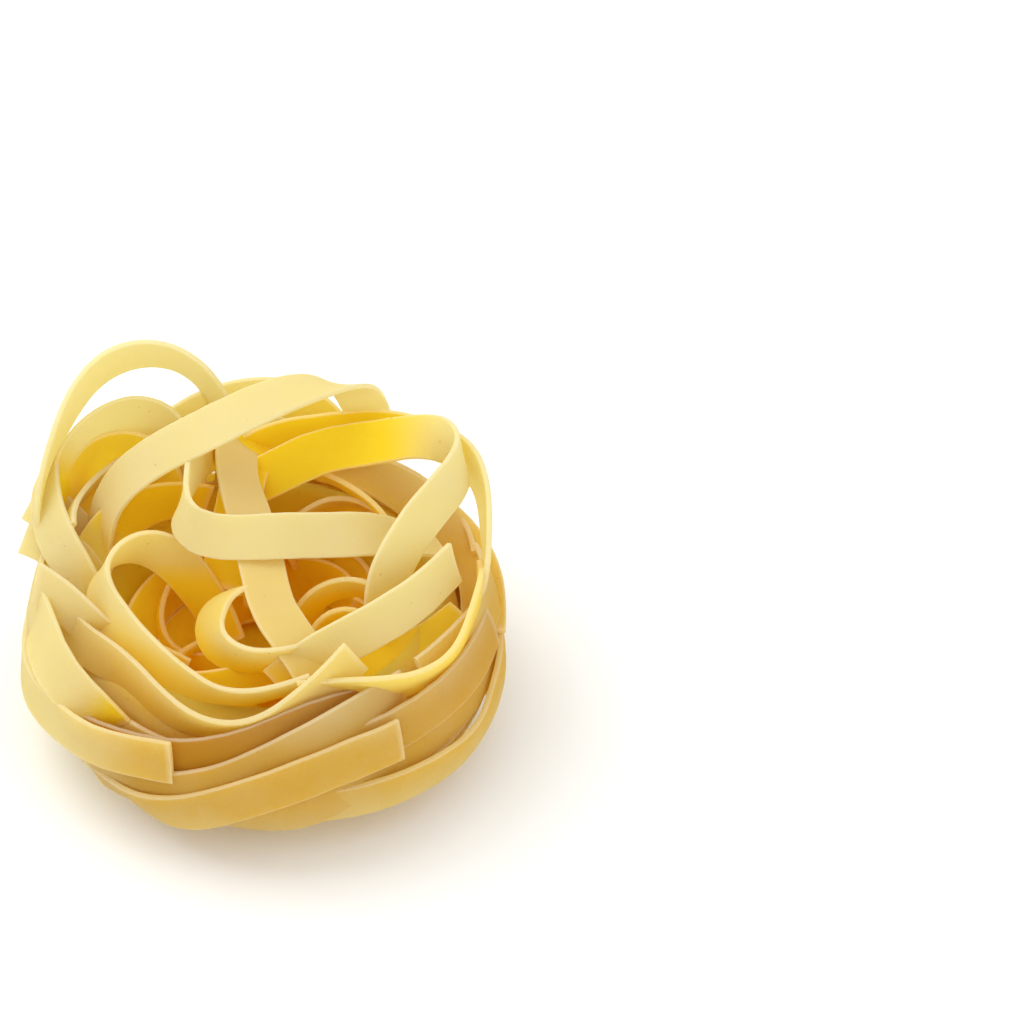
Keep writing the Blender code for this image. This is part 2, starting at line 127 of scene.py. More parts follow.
# Noodles that lie free, each a short list of (x, y, z, lean). A noodle's face looks away from the upright
# axis of its own loop, and lean turns it up.
LOOPS = {
    "back_arch": ((-17, 12), [
        (-32.6, 11, 20, 5), (-32.6, 13, 27, 5), (-31, 16, 33.3, 10), (-26.5, 21, 40.5, 13),
        (-22, 24.5, 43.5, 15), (-16, 26, 44.3, 17), (-11.3, 26, 42.4, 18), (-8, 25.3, 38.2, 25),
        (-5.8, 24.6, 31, 30), (-4.6, 23.6, 23, 25)]),
    "long_bow": ((12, 32), [
        (-24, 9, 17, 10), (-24, 10, 23, 18), (-22, 12, 29, 28), (-16, 12, 36, 36), (-8, 12.5, 41, 42),
        (0, 16, 43, 50), (4, 18, 43.5, 80), (8, 20, 43.2, 105), (11.5, 22, 41.5, 130),
        (13.5, 24, 37.5, 155), (14.8, 25.5, 33, 170), (15.5, 27, 25, 175)]),
    "right_hoop": ((8, 8), [
        (-4, 14, 28, -48), (2, 15, 31, -48), (8, 17, 33, -46), (16, 16, 35.5, -44), (23, 16, 37, -35),
        (28, 14, 37.2, -5), (29, 10, 37, 20), (26.4, 5, 36.2, 32), (22.6, 0.2, 34.6, 36),
        (19.6, -3.8, 31.6, 38), (17.8, -5.8, 27.8, 36), (17.6, -6.2, 22, 20)]),
    "outer_hoop": ((0, 0), [
        (-4, 21, 28, -8), (2, 22, 31, -8), (8, 22, 32, -8), (16, 22, 33, -8), (25, 18, 34, -6),
        (30, 14, 34, -6), (32, 8, 32.5, -6), (32, 4, 30, -6), (32, -1, 25, -4), (30, -6, 20, 0)]),
    "cross_band": ((2, 16), [
        (-8, 18, 32, -8), (-10, 13, 35, -8), (-10, 9, 34.5, -5), (-12, 4, 34, 5), (-11, 1, 33, 25),
        (-8, 0, 32, 38), (-3, -1, 32.5, 40), (4, -1, 33, 42), (10, -0.5, 32.5, 46), (15, 1, 31.5, 55),
        (20, 3, 29, 75), (25, 6, 25, 85)]),
    "down_band": ((0, 20), [
        (-4, 23, 28, 128), (-4, 18, 34, 128), (-4, 12, 32.5, 125), (-2, 6, 31, 105), (0, -2, 29.5, 95),
        (2, -11, 28, 88), (5, -16, 27, 84), (8, -20, 24.5, 80), (11, -24, 20, 75)]),
    "left_eye": ((-10, -10), [
        (-5, -3, 14, -5), (-8, 0, 19, -5), (-12, 2, 25, -5), (-16, 2.5, 28, 3), (-20.5, 0.7, 28, 22),
        (-23.2, -3, 27, 34), (-22.8, -6.8, 25.8, 36), (-19.6, -11.4, 24.5, 30), (-16.2, -15, 23.7, 22),
        (-12, -19.3, 22.8, 10), (-7.5, -22.5, 22.4, 0), (-2, -24, 23, -22), (4, -23.4, 24.3, -24),
        (7.5, -22.2, 25, -20)]),
    "small_eye": ((0, -9), [
        (2, -4, 25, 40), (-2, -5, 27, 40), (-5, -6, 27, 45), (-7, -9, 26, 48), (-7, -13, 25, 30),
        (-5, -16, 24.5, 0), (-1, -18, 24.5, -20), (4, -18, 25, -20), (9, -15, 23, -15)]),
    "right_band": ((4, 4), [
        (27.5, -2.8, 29.4, 18), (25.8, -5.9, 29.8, 21), (23.6, -9.3, 30, 24), (19.3, -13.4, 29.6, 28),
        (13.6, -17, 28.4, 30), (8.5, -18.3, 26, 30), (3, -20, 21.5, 30)]),
    "front_tail": ((0, 0), [
        (14, -22, 29.5, 8), (11.2, -24.5, 27.6, 2), (7, -26.8, 25.2, -12), (2.5, -28.3, 23.2, -28),
        (-2.5, -29, 22.1, -34), (-7.6, -27.9, 21.7, -20), (-13.2, -23.6, 21.6, 0),
        (-19, -16.6, 21.6, 10), (-24.8, -11.4, 21.4, 20), (-29.2, -6, 21.2, 24)]),
    "left_lap": ((10, 40), [
        (-31.8, -3.8, 26.4, 18), (-28.6, -6.8, 26.4, 22), (-26, -8.4, 25.2, 24), (-22.8, -9.8, 21.8, 24),
        (-17.6, -11, 19, 22), (-11, -13, 16.6, 20)]),
    "left_drop": ((8, 30), [
        (-31.6, -2, 22, 5), (-31.6, -6.4, 23, 18), (-30.4, -12.4, 22.6, 42), (-27.4, -18.4, 21.2, 46),
        (-23.4, -22, 19.2, 32), (-20, -22.6, 16, 5)]),
    "right_lip": ((0, 0), [
        (6.5, -24, 24.6, -20), (12, -24.2, 25.6, -22), (17, -24, 25, -22), (21, -22, 24, -24),
        (25, -19, 23.5, -20), (28, -16, 24, -15), (30, -11, 26, -8), (31, -6, 26, 0), (31, 0, 23, 5)]),
    "shoulder": ((-20, 8), [
        (-29, 13, 19.5, 5), (-29, 15, 24.8, 5), (-29, 18, 29, 0), (-26, 21, 32.2, -3),
        (-22, 23, 34.2, -5), (-18, 24, 34.7, -5), (-15, 23.5, 34, -5), (-13, 22, 31, 0),
        (-11, 19, 25, 0)]),
    "shoulder_fold": ((-20, 6), [
        (-27.5, 13, 18, 0), (-28, 16, 23.5, 0), (-26.5, 20, 27.5, 0), (-23, 21.5, 29.5, -5),
        (-19, 21, 30, -5), (-16, 20, 28, 0), (-14, 18, 24, 0)]),
    "back_bow": ((2, 0), [
        (-20, 24.6, 25, -5), (-15, 26, 29, -5), (-10, 27.2, 32, -5), (-4, 28, 33.8, -5), (1.5, 28.4, 34, -5),
        (6, 28, 32, -5), (9.5, 27.4, 28, 0), (12.5, 26.5, 22, 0)]),
    "under_band": ((0, 20), [
        (-1, 22, 30, 115), (-2, 18, 32, 112), (-3, 14, 30.5, 108), (-4, 9, 28, 100), (-5, 4, 25, 92),
        (-6, 1, 21, 85)]),
    "left_wide": ((-5, 10), [
        (-30.6, 22, 29, 20), (-31.8, 16.4, 28.4, 36), (-31.4, 10.4, 27.2, 44), (-29.4, 5.4, 25.4, 46),
        (-26.4, 1.8, 22.8, 40), (-23.6, -1.4, 19.4, 30)]),
    "left_slant": ((-28, 60), [
        (-34.6, 10.2, 23.4, 36), (-31, 9, 22.6, 40), (-27.6, 7, 20.8, 40), (-24.8, 4, 18, 36)]),
    "left_end": ((-28, 60), [
        (-34, 15.8, 24.8, 38), (-31, 14.4, 24, 40), (-28, 12.4, 22, 40), (-25.4, 9.6, 19, 36)]),
    "inner_bow": ((8, 0), [
        (-6, 18, 22, 25), (-2, 20, 26, 30), (4, 20, 27, 33), (9, 18, 27.5, 33), (14, 14, 27, 30),
        (18, 9, 25, 15), (20, 3, 21, 0)]),
    "inner_coil": ((8, -6), [
        (2, 11, 18, 20), (5, 14, 22, 30), (9, 16, 24, 33), (14, 15, 24.5, 33), (18, 11, 23, 20),
        (20, 5, 19, 5)]),
    "left_inner": ((-16, 40), [
        (-25.4, 6, 20, 10), (-23, 10, 23.5, 10), (-18.5, 13, 25.4, 8), (-13.5, 14.6, 26.2, 5),
        (-8.5, 15.2, 24.6, 0)]),
    "lip_fold": ((4, 4), [
        (9, -14.6, 16.6, 70), (12.4, -13.8, 18, 70), (18.4, -12, 19.2, 72), (24.6, -9.4, 20.2, 72),
        (29, -4.6, 20.2, 66)]),
    "right_rim": ((0, 0), [
        (8, 26.5, 21, 70), (14, 24.7, 22, 95), (19, 21.5, 22, 108), (25, 16, 21, 112), (29.2, 10.6, 20, 112),
        (31.4, 4, 19, 105), (31.6, -3.5, 17, 80)]),
    "eye_outer": ((11, -10), [
        (4.8, -5.8, 16.5, 10), (5.6, -4.2, 20, 15), (7.2, -3, 22.6, 22), (9.8, -2.6, 24.2, 28),
        (13.6, -2.6, 25, 28), (17, -3.4, 24, 20), (19.4, -5.6, 20, 5)]),
    "eye_inner": ((12, -12), [
        (7, -9.5, 17, 20), (7.6, -7.4, 20, 25), (10.4, -6.2, 22, 30), (14, -6.4, 22.4, 25),
        (17, -8.6, 20, 10)]),
}

# Noodles that lie on the wall, each a short list of (angle, height, depth under the wall).
WALL_BANDS = {
    "front_low": [(-54, 18.8, -0.8), (-65.5, 18.8, -0.9), (-75, 17.9, -0.9), (-84.5, 16.2, -0.9),
                  (-94, 13.9, -0.8), (-104, 10.9, -0.6), (-114, 8.6, 0), (-125, 7, 0.8), (-137, 6, 1.7)],
    "left_low": [(-110, 18.3, 0), (-116, 17.9, -0.1), (-123, 17.1, -0.4), (-133, 16.2, -0.8),
                 (-143, 15.7, -0.9), (-153, 14.9, -1), (-168, 14.2, -0.6), (-184, 14, 0.9),
                 (-200, 14, 2.2)],
    "right_foot": [(-112, 8.4, 2.4), (-96, 9.4, 1.9), (-80, 10.2, 1.4), (-70, 9.9, 0.8), (-58, 9.9, 0.2),
                   (-48, 9.7, -0.3), (-37, 9.3, -0.6), (-27, 9.3, -0.6), (-20, 10.4, -0.5),
                   (-6, 12.5, 0.2), (12, 13, 1.3)],
    "front_foot": [(-114, 6.4, 1.6), (-99, 7.2, 1.2), (-86, 8.4, 0.9), (-74, 11.2, 0.8), (-62, 13.6, 0.9),
                   (-47, 15.4, 1.5)],
    "front_cross": [(-135, 8.5, 1.2), (-120, 11, 0.8), (-106, 14, 0.3), (-96, 16.4, 0.2), (-86, 19.3, 0.2),
                    (-77, 21.6, 0.2), (-67, 23.2, 0.5), (-57, 23.6, 1.6), (-46, 22.8, 3.2)],
    "front_under": [(-140, 14.5, 1.4), (-121, 16.8, 1.4), (-108, 18.2, 1.4), (-98, 20, 1.4),
                    (-88, 22, 1.4), (-79, 23.6, 1.8), (-68, 24, 3), (-57, 22.8, 4.4)],
    "right_mid": [(-10, 20, 0), (-24, 20.2, 0), (-38, 20, 0), (-52, 19.5, 0.6), (-68, 19, 1.6)],
    "right_under": [(-4, 15.5, 1.1), (-20, 15.8, 1.1), (-38, 15.4, 1.0), (-52, 15, 1.2),
                    (-70, 14, 2.0)],
    "back_cross": [(30, 7, 1.6), (48, 9, -0.4), (66, 12.5, -0.9), (86, 16.5, -0.9), (104, 20.5, -0.7),
                   (122, 23.5, 0.6), (136, 24.5, 2)],
    "back_rise": [(178, 16.5, 1.6), (160, 14, -0.5), (142, 10, -0.9), (124, 7.5, -0.5), (108, 6, 1.6)],
    "right_high": [(-40, 23.5, 2.2), (-26, 23.5, 1.2), (-12, 22.6, 0.2), (0, 21.5, 0), (14, 20.5, 0.8)],
}

# Turns right or part of the way round the wall: first and last angle, first and last height,
# sway up and down, its phase, depth under the wall.
WALL_TURNS = [
    (-12, 206, 4.6, 5.2, 0.6, 0, 0.1),
    (8, 196, 11.6, 12.3, 1.0, 40, 0),
    (16, 204, 18, 19.5, 0.8, 20, 0.1),
    (66, 166, 26, 26.4, 0.6, 0, 0.2),
]

# Full windings under those, mostly hidden: first and last height, number of turns, start angle, sway,
# phase, depth.
WINDINGS = [
    (5.0, 14.0, 1.5, 100, 1.0, 0, 1.8),
    (5.0, 15.0, 1.6, 250, 1.2, 150, 3.1),
    (6.0, 15.5, 1.6, 30, 1.4, 60, 4.4),
]

# Windings on the inside of the hollow: first and last slope angle, number of turns, start angle, sway,
# depth into the wall.
HOLLOW_WINDINGS = [
    (28, 56, 1.6, 20, 2.0, 0),
]

# Hoops that fill the hollow: centre (x, y, z), radius, tilt, heading of the tilt, start, sweep, lean.
HOOPS = [
    (-6, 5, 14, 10, 22, 60, 30, 250, 20),
    (7, 6, 16, 9, 18, 200, -40, 240, 15),
    (-4, -8, 15, 9.5, 25, 300, 120, 250, 25),
    (9, -6, 14, 8, 20, 140, 200, 230, -10),
    (1, 1, 11, 11, 12, 20, 260, 240, -20),
]

# Turns between the flat underside and the wall, each a spiral: first and last radius, first and last
# height, lean, start, sweep.
FOOT_TURNS = [
    (24.0, 24.8, 1.7, 2.5, -62, 30, 385),
    (27.4, 28.2, 3.7, 4.5, -45, 200, 390),
]

# How much painted shade a noodle's dough has, as a saturated golden colour put on its faces in shade in
# place of that shade and of light through the dough: share at its start, share at its end, where the change
# lies along it, how much of that its outer face has, and how much painted dark amber shade its dough has.
# The change takes the share of the noodle's length set on the next line.
SHADE_GOLD_CHANGE = 0.16
SHADE_GOLD = {
    "right_hoop": (1.0, 0.0, 0.42, 0.3, 0), "outer_hoop": (1.0, 0.1, 0.55, 0.3, 0),
    "left_eye": (0.3, 0.05, 0.33, 1, 0), "small_eye": (0.4, 0.15, 0.5, 1, 0),
    "shoulder": (1.0, 0.0, 0.3, 0.0, 0), "shoulder_fold": (0.7, 0.9, 0.3, 0.4, 0),
    "under_band": (1, 1, 0.5, 1, 0), "inner_bow": (0.6, 0.8, 0.5, 1, 0.1),
    "inner_coil": (0.4, 0.7, 0.5, 1, 0.1), "left_inner": (0.6, 1, 0.3, 1, 0),
    "lip_fold": (0.8, 0.8, 0.5, 1, 0), "eye_outer": (0.5, 0.4, 0.5, 1, 0),
    "eye_inner": (0.9, 0.9, 0.5, 1, 0), "left_drop": (0, 1, 0.85, 1, 0),
    "back_bow": (0.1, 0.6, 0.6, 0.3, 0), "front_tail": (0.25, 0.1, 0.5, 1, 0.1),
    "right_lip": (0.4, 0.6, 0.5, 1, 0), "down_band": (0.1, 0.25, 0.5, 1, 0.1),
    "front_under": (0, 0, 0.5, 1, 0.8), "front_cross": (0, 0, 0.5, 1, 0.3),
    "right_mid": (0, 0, 0.5, 1, 0.25), "right_under": (0, 0, 0.5, 1, 0.15),
    "right_high": (0.2, 0.2, 0.5, 1, 0.2), "front_foot": (0, 0, 0.5, 1, 0.15),
    "front_low": (0, 0, 0.5, 1, 0.1), "left_lap": (0, 0, 0.5, 1, 0.1),
}
NO_SHADE_GOLD = (0, 0, 0.5, 1, 0)

# The noodle's outline: places across it, and how much of its thickness it has there.
ACROSS = np.array([-1, -0.965, -0.9, -0.45, 0, 0.45, 0.9, 0.965, 1])
FULLNESS = np.array([0.62, 0.96, 1, 1, 1, 1, 1, 0.96, 0.62])
CUT_EDGE = np.array([1, 1, 0, 0, 0, 0, 0, 1, 1])

# Where the painted shade in the dough's colour changes: the place where each change starts and the place
# where it ends, by distance from the nest's axis, by height, or from left to right. The hollow and the low
# wall get painted shade, with less of it towards the left, where the light falls, and towards the foot.
HOLLOW_SIDE = (28 * MM, 20 * MM)
HOLLOW_FACES = (28 * MM, 21 * MM)
HOLLOW_BOTTOM = (22 * MM, 9 * MM)
LOW_WALL = (28 * MM, 19 * MM)
PALE_LEFT = (-31 * MM, -14 * MM)
PALE_FOOT = (14 * MM, 5 * MM)

# Sizes of the pattern in the dough: patches and grains of flour, the gap between bran specks, and
# waves from rolling.
PATCH_SIZE = 8 * MM
GRAIN_SIZE = 0.45 * MM
SPECK_GAP = 3 * MM
WAVE_SIZE = 1.6 * MM
BUMP_HEIGHT = 0.1 * MM

# The floor's half side, and the lights' name, power in watts, side and place, in metres.
FLOOR_REACH = 3.0
LIGHTS = [
    ("key", 3.15, 0.7, (-0.45, 0.2, 0.75)),
    ("fill", 0.9, 0.9, (0.5, -0.6, 0.6)),
]


def linear(hex_colour):
    """sRGB hex as linear red, green and blue: v/12.92 below 0.04045, else ((v + 0.055)/1.055)^2.4."""
    parts = [int(hex_colour[i:i + 2], 16) / 255 for i in (0, 2, 4)]
    return tuple(v / 12.92 if v <= 0.04045 else ((v + 0.055) / 1.055) ** 2.4 for v in parts)


class NoodleSizes(bpy.types.PropertyGroup):
    width: bpy.props.FloatProperty(
        name="Width", description="Width of a noodle", default=6.5 * MM, unit="LENGTH")
    thickness: bpy.props.FloatProperty(
        name="Thickness", description="Thickness of a dry noodle", default=0.8 * MM, unit="LENGTH")
    step: bpy.props.FloatProperty(
        name="Step", description="Length of a mesh cell along a noodle", default=1.0 * MM, unit="LENGTH")
    wobble: bpy.props.FloatProperty(
        name="Wobble", description="How far a noodle wanders off its even curve", default=0.18 * MM,
        unit="LENGTH")
    curl: bpy.props.FloatProperty(
        name="Curl", description="How far a noodle's edges cup up as it dries", default=0.14 * MM,
        unit="LENGTH")


class NoodleColours(bpy.types.PropertyGroup):
    # The dough's pale colour as the lit faces show it; the four colours after it are copies of it painted
    # darker and more golden where shade falls.
    upper: bpy.props.FloatVectorProperty(
        name="Upper faces", description="Dough on the faces that look out and up, with flour dried on",
        subtype="COLOR", default=linear("f1eaae"))
    # Painted shade: a darker, more saturated gold put low on the outer wall, where the lower bands lie in
    # shade.
    wall: bpy.props.FloatVectorProperty(
        name="Wall", description="Dough low on the outside, where many layers lie behind it",
        subtype="COLOR", default=linear("e6c356"))
    # Painted shade: a saturated golden copy of the dough, put on the faces that look in, in the hollow and
    # on the noodles listed for it, in place of their shade and of light through the noodles.
    shade_gold: bpy.props.FloatVectorProperty(
        name="Bare dough", description="Dough without flour, on the faces that look in",
        subtype="COLOR", default=linear("ffec38"))
    # Painted shade: a more saturated gold put at the bottom of the hollow, in place of the shade there and
    # of light that has come through many noodles.
    deep_shade: bpy.props.FloatVectorProperty(
        name="Deep dough", description="Dough at the bottom of the hollow",
        subtype="COLOR", default=linear("ffe22c"))
    # Painted shade rather than drying: a dark amber put on the bands low on the wall and under the tail that
    # lie in shade, in place of that shade.
    shade_brown: bpy.props.FloatVectorProperty(
        name="Browned", description="Noodles low in the wall, browned by drying", subtype="COLOR",
        default=linear("d2971e"))
    flour: bpy.props.FloatVectorProperty(
        name="Flour", description="Dough under a film of flour", subtype="COLOR", default=linear("f2ecc6"))
    inside: bpy.props.FloatVectorProperty(
        name="Inside", description="Light that comes through a floury noodle", subtype="COLOR",
        default=linear("fbf0b2"))
    amber: bpy.props.FloatVectorProperty(
        name="Amber", description="Light that comes through a bare noodle", subtype="COLOR",
        default=linear("ffea4c"))
    cut: bpy.props.FloatVectorProperty(
        name="Cut edge", description="The rough cut edge, which scatters more light", subtype="COLOR",
        default=linear("fdf8dc"))
    speck: bpy.props.FloatVectorProperty(
        name="Speck", description="Bran specks in the dough", subtype="COLOR", default=linear("b07a30"))


def wall_radius(height):
    """Radius of the outer wall: it draws in by a power of the distance from the belly."""
    below = np.clip((BELLY_HEIGHT - height) / BELLY_HEIGHT, 0, 1)
    above = np.clip((height - BELLY_HEIGHT) / (TOP_HEIGHT - BELLY_HEIGHT), 0, 1)
    return BELLY_RADIUS - FOOT_DRAW * below**FOOT_POWER - TOP_DRAW * above**2


def curve_through(stations, step):
    """Points about every step along a centripetal Catmull-Rom curve through rows that start x, y, z."""
    rows = np.array(stations, float)
    rows = np.vstack([2 * rows[0] - rows[1], rows, 2 * rows[-1] - rows[-2]])
    pieces = []
    for first, start, end, last in zip(rows, rows[1:], rows[2:], rows[3:]):
        reach = np.linalg.norm((end - start)[:3])
        knots = np.cumsum([0] + [
            math.sqrt(np.linalg.norm((b - a)[:3])) for a, b in ((first, start), (start, end), (end, last))
        ])
        count = max(1, round(reach / step))
        t = np.linspace(knots[1], knots[2], count, endpoint=False)[:, None]

        def between(low, high, at_low, at_high):
            return ((high - t) * at_low + (t - low) * at_high) / (high - low)

        early = between(knots[0], knots[1], first, start)
        middle = between(knots[1], knots[2], start, end)
        late = between(knots[2], knots[3], end, last)
        rising = between(knots[0], knots[2], early, middle)
        falling = between(knots[1], knots[3], middle, late)
        pieces.append(between(knots[1], knots[2], rising, falling))
    return np.vstack(pieces + [rows[-2][None]])


def eased(rows, spread):
    """Each row averaged with its neighbours by a bell curve of this spread, in rows; the ends stay."""
    reach = int(3 * spread)
    bell = np.exp(-0.5 * (np.arange(-reach, reach + 1) / spread) ** 2)
    bell /= bell.sum()
    before = 2 * rows[0] - rows[reach:0:-1]
    after = 2 * rows[-1] - rows[-2:-reach - 2:-1]
    padded = np.vstack([before, rows, after])
    return np.column_stack([np.convolve(column, bell, "valid") for column in padded.T])


def lean_frame(path, lean, axis):
    """Unit vectors along, across and out of the noodle's face. The face looks away from the upright axis
    of the noodle's loop, lean turns it up, and it is then made square to the path."""
    along = np.gradient(path, axis=0)
    along /= np.linalg.norm(along, axis=1)[:, None]
    outward = np.column_stack([path[:, :2] - np.array(axis, float), np.zeros(len(path))])
    outward /= np.linalg.norm(outward, axis=1)[:, None]
    tilt = np.radians(lean)[:, None]
    face = np.cos(tilt) * outward + np.sin(tilt) * np.array([0, 0, 1.0])
    face -= (face * along).sum(1)[:, None] * along
    face /= np.linalg.norm(face, axis=1)[:, None]
    return np.cross(along, face), face


def on_wall(angle, height, depth):
    """Path and lean of a noodle at this angle, height and depth under the wall, flat on it."""
    rise = 0.5
    slope = (wall_radius(height + rise) - wall_radius(height - rise)) / (2 * rise)
    length = np.sqrt(1 + slope**2)
    radius = wall_radius(height) - depth / length
    turn = np.radians(angle)
    path = np.column_stack([radius * np.cos(turn), radius * np.sin(turn), height + depth * slope / length])
    return path, np.degrees(np.arctan2(-slope, 1))


def stray(kind, length, draws):
    """A smooth random line about nought: the mean of sines with random phases and wavelengths, times
    how far this kind strays."""
    reach, waves, shortest, longest = STRAY[kind]
    place = np.arange(length)
    total = np.zeros(length)
    for _ in range(waves):
        total += np.sin(math.tau * (place / draws.uniform(shortest, longest) + draws.random()))
    return reach * (total / waves)


def noodle_points(path, across, face, sizes, draws):
    """Points of one noodle, a row of its outline for each point of the path.

    Each outline point is path + place * width / 2 * across + out * face, where out is side * thickness
    / 2 * fullness + curl * (place^2 - 1/3). Path, width, thickness and curl stray along the noodle.
    """
    count = len(path)
    half_width = sizes.width / MM / 2
    half_thick = sizes.thickness / MM / 2
    wobble = sizes.wobble / MM
    path = path + wobble * stray("path", count, draws)[:, None] * face
    narrow = 1 + stray("width", count, draws)
    cup = sizes.curl / MM * (1 + stray("curl", count, draws)) * draws.choice([-1, 1])
    rough = stray("edge", count, draws)
    thick = 1 + stray("thickness", count, draws)
    rows = []
    for side in (1, -1):
        places = ACROSS * side
        reach = places[None] * (half_width * narrow)[:, None]
        reach += np.where(np.abs(places) > EDGE_FROM, 1, 0)[None] * rough[:, None] * np.sign(places)
        out = side * half_thick * thick[:, None] * FULLNESS[None]
        out = out + cup[:, None] * (places[None] ** 2 - 1 / 3)
        rows.append(path[:, None] + reach[..., None] * across[:, None] + out[..., None] * face[:, None])
    return np.concatenate(rows, axis=1)


def noodle_mesh(name, noodles, sizes, draws):
    """One mesh of many noodles. Quads join each outline to the next, and the two ends are closed across the
    thickness. A UV map holds the distance along and across, and attributes mark the cut edges, the painted
    golden shade, whose share goes from start to end by 3t^2 - 2t^3 round the place of its change, and the
    painted dark amber shade."""
    points, faces, uvs, cuts, shade_gold_shares, shade_brown_shares = [], [], [], [], [], []
    start = 0
    ring = 2 * len(ACROSS)
    for number, (path, across, face, painted_shade) in enumerate(noodles):
        grid = noodle_points(path, across, face, sizes, draws)
        count = len(grid)
        start_share, end_share, change, outer, shade_brown_share = painted_shade
        t = np.clip((np.linspace(0, 1, count) - change) / SHADE_GOLD_CHANGE + 0.5, 0, 1)
        share = start_share + (end_share - start_share) * t * t * (3 - 2 * t)
        both = np.concatenate([np.full(len(ACROSS), outer), np.ones(len(ACROSS))])
        shade_gold_shares.append((share[:, None] * both[None]).reshape(-1))
        shade_brown_shares.append(np.full(len(shade_gold_shares[-1]), shade_brown_share))
        index = start + np.arange(count * ring).reshape(count, ring)
        turn = np.roll(index, -1, axis=1)
        faces.append(np.stack([index[:-1], turn[:-1], turn[1:], index[1:]], -1).reshape(-1, 4))
        low = np.arange(len(ACROSS) - 1)
        for end, flip in ((index[0], False), (index[-1], True)):
            cap = np.stack([end[low], end[ring - 1 - low], end[ring - 2 - low], end[low + 1]], -1)
            faces.append(cap[:, ::-1] if flip else cap)
        steps = np.linalg.norm(np.diff(path, axis=0), axis=1)
        along = np.concatenate([[0], steps.cumsum()])
        sides = np.concatenate([ACROSS, -ACROSS])
        uv = np.empty((count, ring, 2))
        uv[..., 0] = along[:, None] * MM + number * UV_GAP
        uv[..., 1] = sides[None] * sizes.width / 2
        uvs.append(uv.reshape(-1, 2))
        cut = np.tile(np.concatenate([CUT_EDGE, CUT_EDGE]), (count, 1)).astype(float)
        cut[[0, -1]] = 1
        cuts.append(cut.reshape(-1))
        points.append(grid.reshape(-1, 3) * MM)
        start += count * ring
    points, faces = np.concatenate(points), np.concatenate(faces)
    mesh = bpy.data.meshes.new(name)
    mesh.vertices.add(len(points))
    mesh.vertices.foreach_set("co", points.astype(np.float32).ravel())
    mesh.loops.add(faces.size)
    mesh.loops.foreach_set("vertex_index", faces.astype(np.int32).ravel())
    mesh.polygons.add(len(faces))
    mesh.polygons.foreach_set("loop_start", np.arange(0, faces.size, 4, dtype=np.int32))
    mesh.update(calc_edges=True)
    layer = mesh.uv_layers.new(name="noodle")
    layer.data.foreach_set("uv", np.concatenate(uvs)[faces.ravel()].astype(np.float32).ravel())
    for share_name, shares in (("cut_edge", cuts), ("shade_gold", shade_gold_shares), ("shade_brown", shade_brown_shares)):
        mark = mesh.attributes.new(share_name, "FLOAT", "POINT")
        mark.data.foreach_set("value", np.concatenate(shares).astype(np.float32))
    mesh.shade_smooth()
    mesh.set_sharp_from_angle(angle=math.radians(SHARP_ANGLE))
    mesh.validate()
    return mesh


def place(name, mesh, look):
    """Puts the mesh in the scene as a piece of the nest."""
    piece = bpy.data.objects.new(name, mesh)
    bpy.context.scene.collection.objects.link(piece)
    mesh.materials.append(look)
    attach(piece, BODY)
    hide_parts(NODE)


def ribbon(path, lean, axis, painted_shade=NO_SHADE_GOLD):
    """One noodle as its path, across, face and shares of painted shade."""
    return (path, *lean_frame(path, lean, axis), painted_shade)


def loop_noodles(step):
    """The noodles of the loop table, with their curves eased."""
    made = []
    for name, (axis, stations) in LOOPS.items():
        rows = eased(curve_through(stations, step), EASE / step)
        made.append(ribbon(rows[:, :3], rows[:, 3], axis, SHADE_GOLD.get(name, NO_SHADE_GOLD)))
    return made


def turn_round(first, sweep, low, high, sway, phase, depth, dip, step):
    """A noodle that climbs the wall as it goes round. Its angle is first + sweep * t, its height is low +
    (high - low) * t + sway * sin(2 * angle + phase), and its ends lie deeper by dip * (2t - 1)^8."""
    t = np.linspace(0, 1, round(math.radians(sweep) * BELLY_RADIUS / step))
    angle = first + sweep * t
    height = low + (high - low) * t + sway * np.sin(np.radians(2 * angle + phase))
    path, lean = on_wall(angle, height, depth + dip * (2 * t - 1) ** END_POWER)
    return ribbon(path, lean, (0, 0))


def wall_noodles(step):
    """The noodles of the wall table, with their curves eased, and the turns round the wall."""
    made = []
    for name, stations in WALL_BANDS.items():
        rows = np.array(stations, float)
        rows[:, 0] = np.radians(rows[:, 0]) * BELLY_RADIUS
        rows = eased(curve_through(rows, step), EASE / step)
        path, lean = on_wall(np.degrees(rows[:, 0] / BELLY_RADIUS), rows[:, 1], rows[:, 2])
        made.append(ribbon(path, lean, (0, 0), SHADE_GOLD.get(name, NO_SHADE_GOLD)))
    for first, last, *climb in WALL_TURNS:
        made.append(turn_round(first, last - first, *climb, END_DIP, step))
    return made


def winding_noodles(step):
    """Noodles that climb the wall in several turns, all with the same sway, so that they never meet."""
    made = []
    for low, high, turns, start, sway, phase, depth in WINDINGS:
        made.append(turn_round(start, 360 * turns, low, high, sway, phase, depth, 0, step))
    return made


